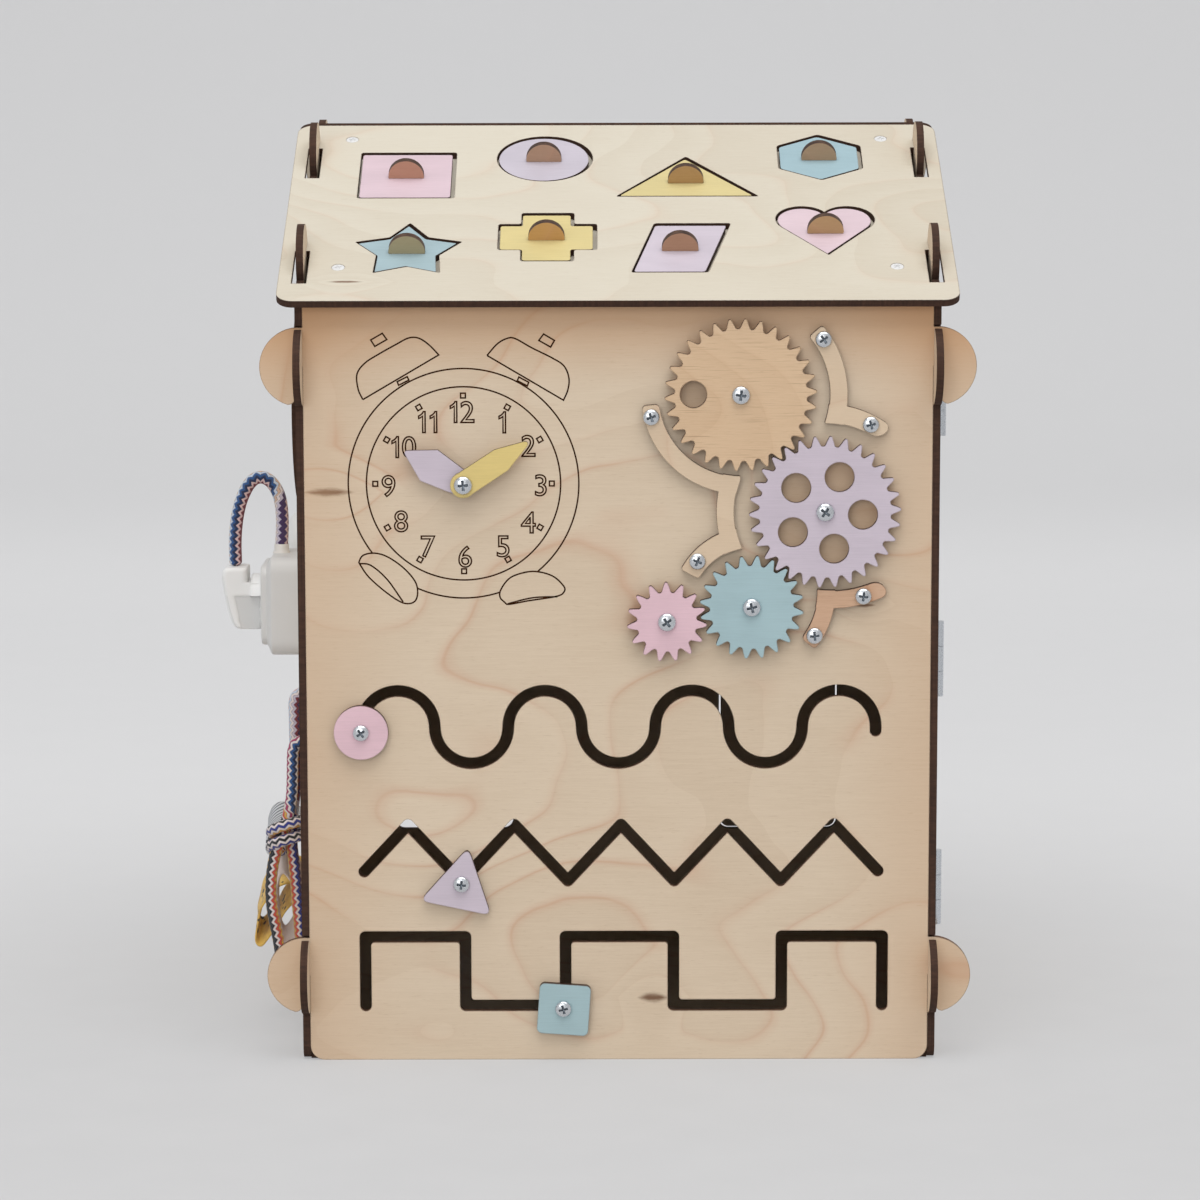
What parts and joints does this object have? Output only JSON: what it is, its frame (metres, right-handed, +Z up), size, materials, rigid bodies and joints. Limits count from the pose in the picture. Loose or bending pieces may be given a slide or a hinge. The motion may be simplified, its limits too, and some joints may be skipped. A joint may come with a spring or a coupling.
{
  "type": "wooden busy board house",
  "caption": "House-shaped wooden activity board with a gear train, toy clock, maze sliders, shape tiles, latched doors, socket, spin wheel, laces and ribbon tags.",
  "frame": {"origin": "middle of the underside, on the surface that the house stands on", "axes": "+X to the right of the front, +Y to the back, +Z up to the ridge; the front with the gears and the clock faces -Y"},
  "size_m": [0.4277, 0.3888, 0.5157],
  "materials": {
    "birch_ply": "laser-cut birch plywood, unvarnished, dark burnt edges",
    "pale_ply": "pale birch plywood, unvarnished, dark burnt edges",
    "warm_ply": "warm birch plywood, dark burnt edges",
    "zinc": "zinc-plated steel",
    "white_screws": "white painted countersunk screws",
    "pink_paint": "plywood with matte pink paint, burnt edges",
    "lilac_paint": "plywood with matte lilac paint, burnt edges",
    "blue_paint": "plywood with matte light blue paint, burnt edges",
    "yellow_paint": "plywood with matte yellow paint, burnt edges",
    "white_plastic": "smooth white plastic",
    "lamp_plastic": "translucent white plastic",
    "braid_blue": "braided cord, navy and pink with a white zigzag",
    "braid_red": "braided lace, red and grey with a white zigzag",
    "ribbon": "woven ribbon, striped, spotted and plain"
  },
  "bodies": {
    "house": {"floor_panel": "birch_ply", "front_wall": "birch_ply", "back_wall": "birch_ply", "left_wall": "birch_ply", "right_wall": "birch_ply", "front_roof": "pale_ply", "back_roof": "pale_ply", "roof_tray": "pale_ply", "tray_screws": "white_screws", "gear_guide_top": "pale_ply", "gear_guide_left": "pale_ply", "gear_guide_low": "warm_ply", "panel_screws": "zinc", "pivot_bolts": "zinc", "pivot_spacers": "zinc", "hinge_frame_leaves": "zinc", "lock_nuts": "zinc", "socket_box": "white_plastic", "socket_cover": "white_plastic", "lamp_base": "white_plastic", "plug_cord": "braid_blue", "upper_lace": "braid_red", "lower_lace": "braid_blue", "lace_knot": "braid_red", "ribbon_tags": "ribbon"},
    "wood_gear": {"wood_gear": "warm_ply"},
    "lilac_gear": {"lilac_gear": "lilac_paint"},
    "blue_gear": {"blue_gear": "blue_paint"},
    "pink_gear": {"pink_gear": "pink_paint"},
    "hour_hand": {"hour_hand": "lilac_paint"},
    "minute_hand": {"minute_hand": "yellow_paint"},
    "spin_wheel": {"spin_wheel": "birch_ply"},
    "disc_runner": {"disc_runner": "zinc"},
    "triangle_runner": {"triangle_runner": "zinc"},
    "square_runner": {"square_runner": "zinc"},
    "disc_button": {"disc_button": "pink_paint"},
    "triangle_button": {"triangle_button": "lilac_paint"},
    "square_button": {"square_button": "blue_paint"},
    "square_tile": {"square_tile": "pink_paint"},
    "circle_tile": {"circle_tile": "lilac_paint"},
    "triangle_tile": {"triangle_tile": "yellow_paint"},
    "hexagon_tile": {"hexagon_tile": "blue_paint"},
    "star_tile": {"star_tile": "blue_paint"},
    "cross_tile": {"cross_tile": "yellow_paint"},
    "slanted_tile": {"slanted_tile": "lilac_paint"},
    "heart_tile": {"heart_tile": "pink_paint"},
    "top_door": {"top_door": "birch_ply", "top_door_hinge": "zinc"},
    "middle_door": {"middle_door": "birch_ply", "middle_door_hinge": "zinc"},
    "low_door": {"low_door": "birch_ply", "low_door_hinge": "zinc"},
    "back_door": {"back_door": "birch_ply", "back_door_hinge": "zinc"},
    "top_turn_button": {"top_turn_button": "warm_ply"},
    "middle_turn_button": {"middle_turn_button": "warm_ply"},
    "low_turn_button": {"low_turn_button": "warm_ply"},
    "back_turn_button": {"back_turn_button": "warm_ply"},
    "plug": {"plug": "white_plastic"},
    "lamp_dome": {"lamp_dome": "lamp_plastic"}
  },
  "joints": [
    {"name": "wood_gear_spin", "type": "hinge", "parent": "house", "child": "wood_gear", "pos_m": [0.0664, -0.175, 0.3695], "axis": [0, 1, 0], "continuous": true},
    {"name": "lilac_gear_spin", "type": "hinge", "parent": "house", "child": "lilac_gear", "pos_m": [0.11232, -0.175, 0.30583], "axis": [0, 1, 0], "continuous": true},
    {"name": "blue_gear_spin", "type": "hinge", "parent": "house", "child": "blue_gear", "pos_m": [0.07263, -0.175, 0.25373], "axis": [0, 1, 0], "continuous": true},
    {"name": "pink_gear_spin", "type": "hinge", "parent": "house", "child": "pink_gear", "pos_m": [0.02641, -0.175, 0.24574], "axis": [0, 1, 0], "continuous": true},
    {"name": "hour_hand_turn", "type": "hinge", "parent": "house", "child": "hour_hand", "pos_m": [-0.0841, -0.175, 0.3211], "axis": [0, 1, 0], "continuous": true},
    {"name": "minute_hand_turn", "type": "hinge", "parent": "house", "child": "minute_hand", "pos_m": [-0.0841, -0.175, 0.3211], "axis": [0, 1, 0], "continuous": true},
    {"name": "spin_wheel_spin", "type": "hinge", "parent": "house", "child": "spin_wheel", "pos_m": [-0.175, -0.09, 0.357], "axis": [1, 0, 0], "continuous": true},
    {"name": "disc_slider_arc", "type": "hinge", "parent": "house", "child": "disc_runner", "pos_m": [-0.1209, -0.175, 0.1869], "axis": [0, 1, 0], "range_deg": [0, 180]},
    {"name": "triangle_slider_run", "type": "slide", "parent": "house", "child": "triangle_runner", "axis": [0.6811, 0, 0.7322], "range_m": [0, 0.0425]},
    {"name": "square_slider_run", "type": "slide", "parent": "house", "child": "square_runner", "axis": [-1, 0, 0], "range_m": [0, 0.054]},
    {"name": "disc_button_spin", "type": "hinge", "parent": "disc_runner", "child": "disc_button", "pos_m": [-0.14105, -0.175, 0.1845], "axis": [0, 1, 0], "continuous": true},
    {"name": "triangle_button_spin", "type": "hinge", "parent": "triangle_runner", "child": "triangle_button", "pos_m": [-0.0866, -0.175, 0.09995], "axis": [0, 1, 0], "continuous": true},
    {"name": "square_button_spin", "type": "hinge", "parent": "square_runner", "child": "square_button", "pos_m": [-0.0307, -0.175, 0.02975], "axis": [0, 1, 0], "continuous": true},
    {"name": "square_tile_lift", "type": "slide", "parent": "house", "child": "square_tile", "axis": [0, -0.4478, 0.8942], "range_m": [0, 0.03]},
    {"name": "circle_tile_lift", "type": "slide", "parent": "house", "child": "circle_tile", "axis": [0, -0.4478, 0.8942], "range_m": [0, 0.03]},
    {"name": "triangle_tile_lift", "type": "slide", "parent": "house", "child": "triangle_tile", "axis": [0, -0.4478, 0.8942], "range_m": [0, 0.03]},
    {"name": "hexagon_tile_lift", "type": "slide", "parent": "house", "child": "hexagon_tile", "axis": [0, -0.4478, 0.8942], "range_m": [0, 0.03]},
    {"name": "star_tile_lift", "type": "slide", "parent": "house", "child": "star_tile", "axis": [0, -0.4478, 0.8942], "range_m": [0, 0.03]},
    {"name": "cross_tile_lift", "type": "slide", "parent": "house", "child": "cross_tile", "axis": [0, -0.4478, 0.8942], "range_m": [0, 0.03]},
    {"name": "slanted_tile_lift", "type": "slide", "parent": "house", "child": "slanted_tile", "axis": [0, -0.4478, 0.8942], "range_m": [0, 0.03]},
    {"name": "heart_tile_lift", "type": "slide", "parent": "house", "child": "heart_tile", "axis": [0, -0.4478, 0.8942], "range_m": [0, 0.03]},
    {"name": "top_door_swing", "type": "hinge", "parent": "house", "child": "top_door", "pos_m": [0.1778, -0.1474, 0.3654], "axis": [0, 0, -1], "range_deg": [0, 100]},
    {"name": "middle_door_swing", "type": "hinge", "parent": "house", "child": "middle_door", "pos_m": [0.1778, -0.1474, 0.2204], "axis": [0, 0, -1], "range_deg": [0, 100]},
    {"name": "low_door_swing", "type": "hinge", "parent": "house", "child": "low_door", "pos_m": [0.1778, -0.1474, 0.0915], "axis": [0, 0, -1], "range_deg": [0, 100]},
    {"name": "back_door_swing", "type": "hinge", "parent": "house", "child": "back_door", "pos_m": [0.1407, 0.1778, 0.1179], "axis": [0, 0, -1], "range_deg": [0, 100]},
    {"name": "top_turn_button_spin", "type": "hinge", "parent": "house", "child": "top_turn_button", "pos_m": [0.175, -0.0462, 0.3654], "axis": [1, 0, 0], "continuous": true},
    {"name": "middle_turn_button_spin", "type": "hinge", "parent": "house", "child": "middle_turn_button", "pos_m": [0.175, -0.0462, 0.2204], "axis": [1, 0, 0], "continuous": true},
    {"name": "low_turn_button_spin", "type": "hinge", "parent": "house", "child": "low_turn_button", "pos_m": [0.175, -0.0462, 0.0915], "axis": [1, 0, 0], "continuous": true},
    {"name": "back_turn_button_spin", "type": "hinge", "parent": "house", "child": "back_turn_button", "pos_m": [0.0571, 0.175, 0.1179], "axis": [0, 1, 0], "continuous": true},
    {"name": "plug_pull", "type": "slide", "parent": "house", "child": "plug", "axis": [-1, 0, 0], "range_m": [0, 0.022]},
    {"name": "lamp_push", "type": "slide", "parent": "house", "child": "lamp_dome", "axis": [1, 0, 0], "range_m": [0, 0.0025]}
  ],
  "couplings": [
    {"joint": "lilac_gear_spin", "follows": "wood_gear_spin", "ratio": -1},
    {"joint": "blue_gear_spin", "follows": "wood_gear_spin", "ratio": 1.5},
    {"joint": "pink_gear_spin", "follows": "wood_gear_spin", "ratio": -2}
  ]
}
